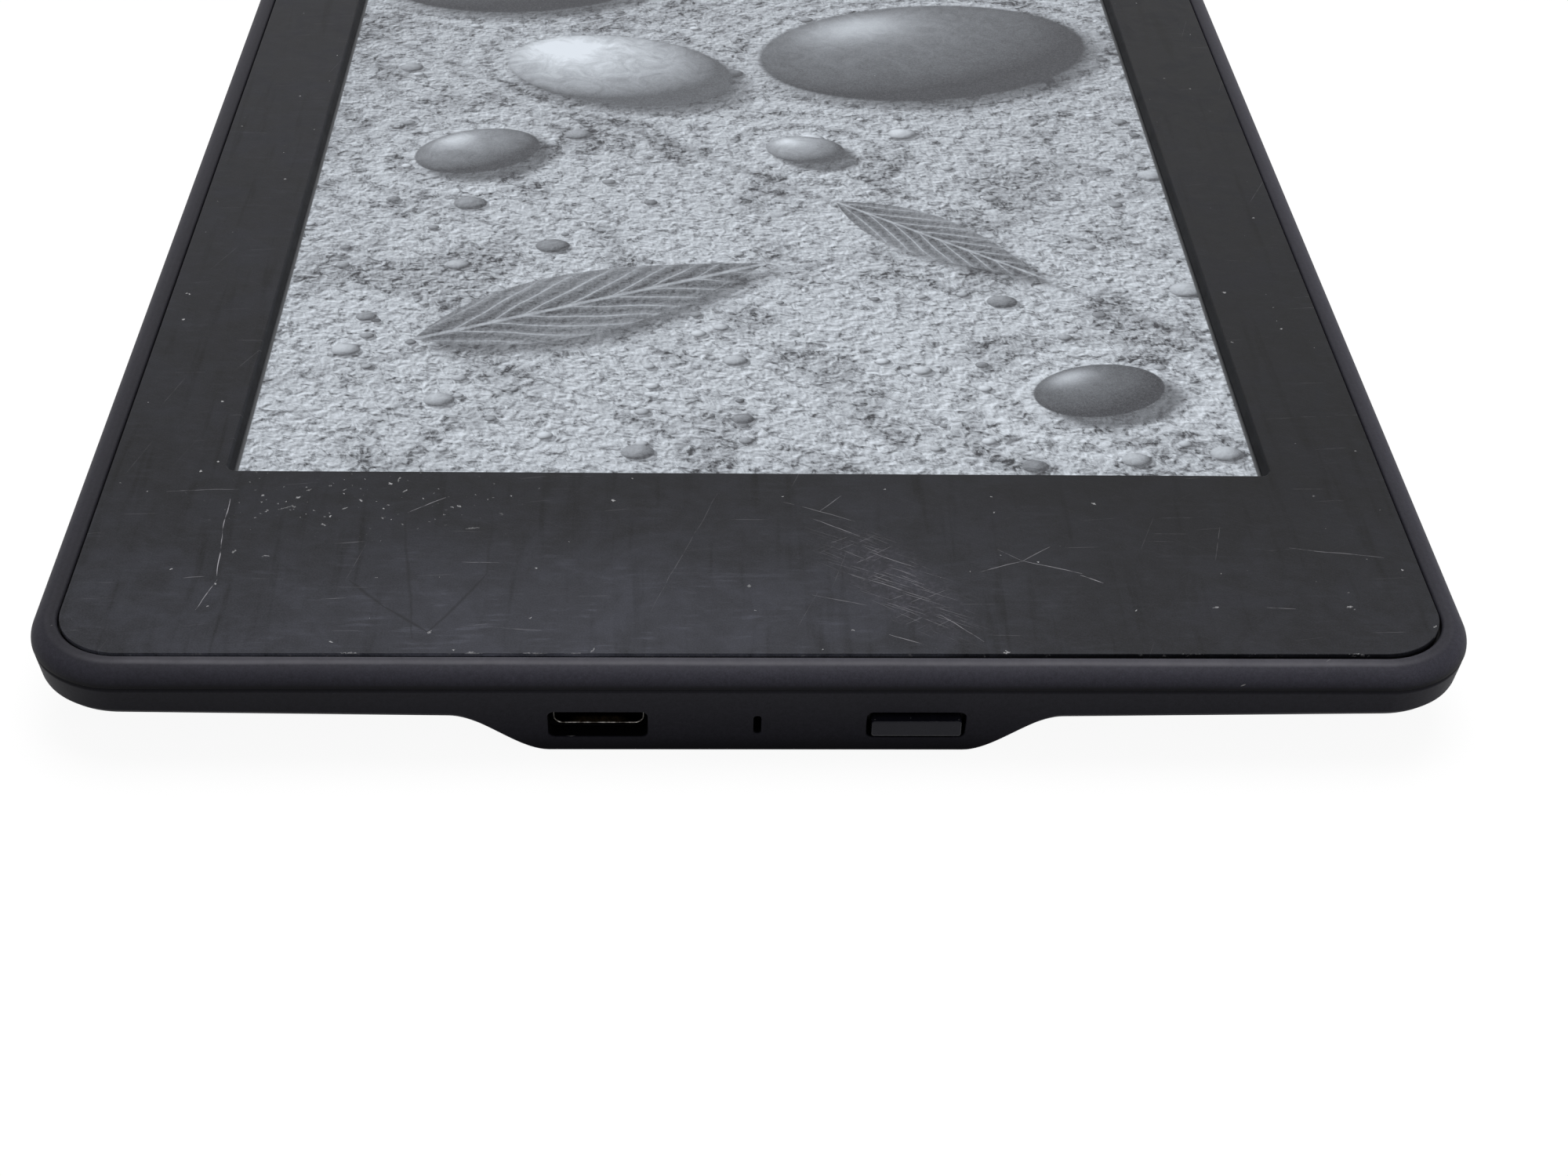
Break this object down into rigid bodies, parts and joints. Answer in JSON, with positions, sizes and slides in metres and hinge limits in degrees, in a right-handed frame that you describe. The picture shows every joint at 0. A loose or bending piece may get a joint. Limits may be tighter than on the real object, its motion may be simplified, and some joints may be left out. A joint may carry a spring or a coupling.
{
  "type": "e-reader",
  "caption": "Slim handheld e-reader: flat bezel round a recessed e-paper touch screen, rolled rim, tapered back, and a port edge with a charging socket and a sprung power button.",
  "frame": {"origin": "under the middle of the flat back, on the surface that the reader lies on", "axes": "+X to the right of the screen, +Y to its top edge, +Z out of the screen"},
  "size_m": [0.117, 0.169, 0.0091],
  "materials": {
    "cover": "soft-touch matte, fine grain",
    "bezel": "matte, fine grain",
    "button": "polished",
    "screen": "anti-glare film over the lit page",
    "foam": "closed-cell foam",
    "touch_glass": "clear",
    "clear": "clear moulding",
    "paper": "e-paper on a glass back",
    "ribbon": "polyimide film",
    "chassis": "cast light alloy",
    "circuit": "solder mask",
    "pouch": "laminated foil pouch",
    "tape": "double-sided tape",
    "steel": "plated sheet",
    "moulded": "moulded",
    "led": "phosphor",
    "chip": "moulded resin",
    "gold": "plated",
    "screw": "black oxide"
  },
  "bodies": {
    "body": {"battery_board": "circuit", "battery_cell": "pouch", "battery_screw_1": "screw", "battery_screw_2": "screw", "battery_tape": "tape", "board_screw_1": "screw", "board_screw_2": "screw", "board_screw_3": "screw", "board_screw_4": "screw", "chassis": "chassis", "chassis_screw_1": "screw", "chassis_screw_10": "screw", "chassis_screw_2": "screw", "chassis_screw_3": "screw", "chassis_screw_4": "screw", "chassis_screw_5": "screw", "chassis_screw_6": "screw", "chassis_screw_7": "screw", "chassis_screw_8": "screw", "chassis_screw_9": "screw", "cover_sensor": "chip", "display_connector": "moulded", "display_ribbon": "ribbon", "e_paper_panel": "paper", "edge_led_1": "led", "edge_led_2": "led", "edge_led_3": "led", "edge_led_4": "led", "front_bezel": "bezel", "light_connector": "moulded", "light_guide": "clear", "light_ribbon": "ribbon", "light_strip": "ribbon", "main_board": "circuit", "memory_chip": "chip", "power_chip": "chip", "power_switch": "moulded", "processor": "chip", "processor_shield": "steel", "radio_antenna": "gold", "radio_chip": "chip", "radio_shield": "steel", "rear_cover": "cover", "screen_film": "screen", "screen_gasket": "foam", "status_led": "led", "status_light_pipe": "clear", "storage_chip": "chip", "touch_connector": "moulded", "touch_ribbon": "ribbon", "touch_sensor": "touch_glass", "usb_insert": "moulded", "usb_shell": "steel"},
    "power_button": {"power_button": "button"},
    "switch_plunger": {"switch_plunger": "moulded"}
  },
  "joints": [
    {"name": "power_button_press", "type": "slide", "parent": "body", "child": "power_button", "axis": [0, 1, 0], "range_m": [0, 0.0004], "stiffness_N_per_m": 800},
    {"name": "switch_plunger_slide", "type": "slide", "parent": "body", "child": "switch_plunger", "axis": [0, 1, 0], "range_m": [0, 0.0004]}
  ],
  "couplings": [
    {"joint": "switch_plunger_slide", "follows": "power_button_press", "ratio": 1}
  ]
}
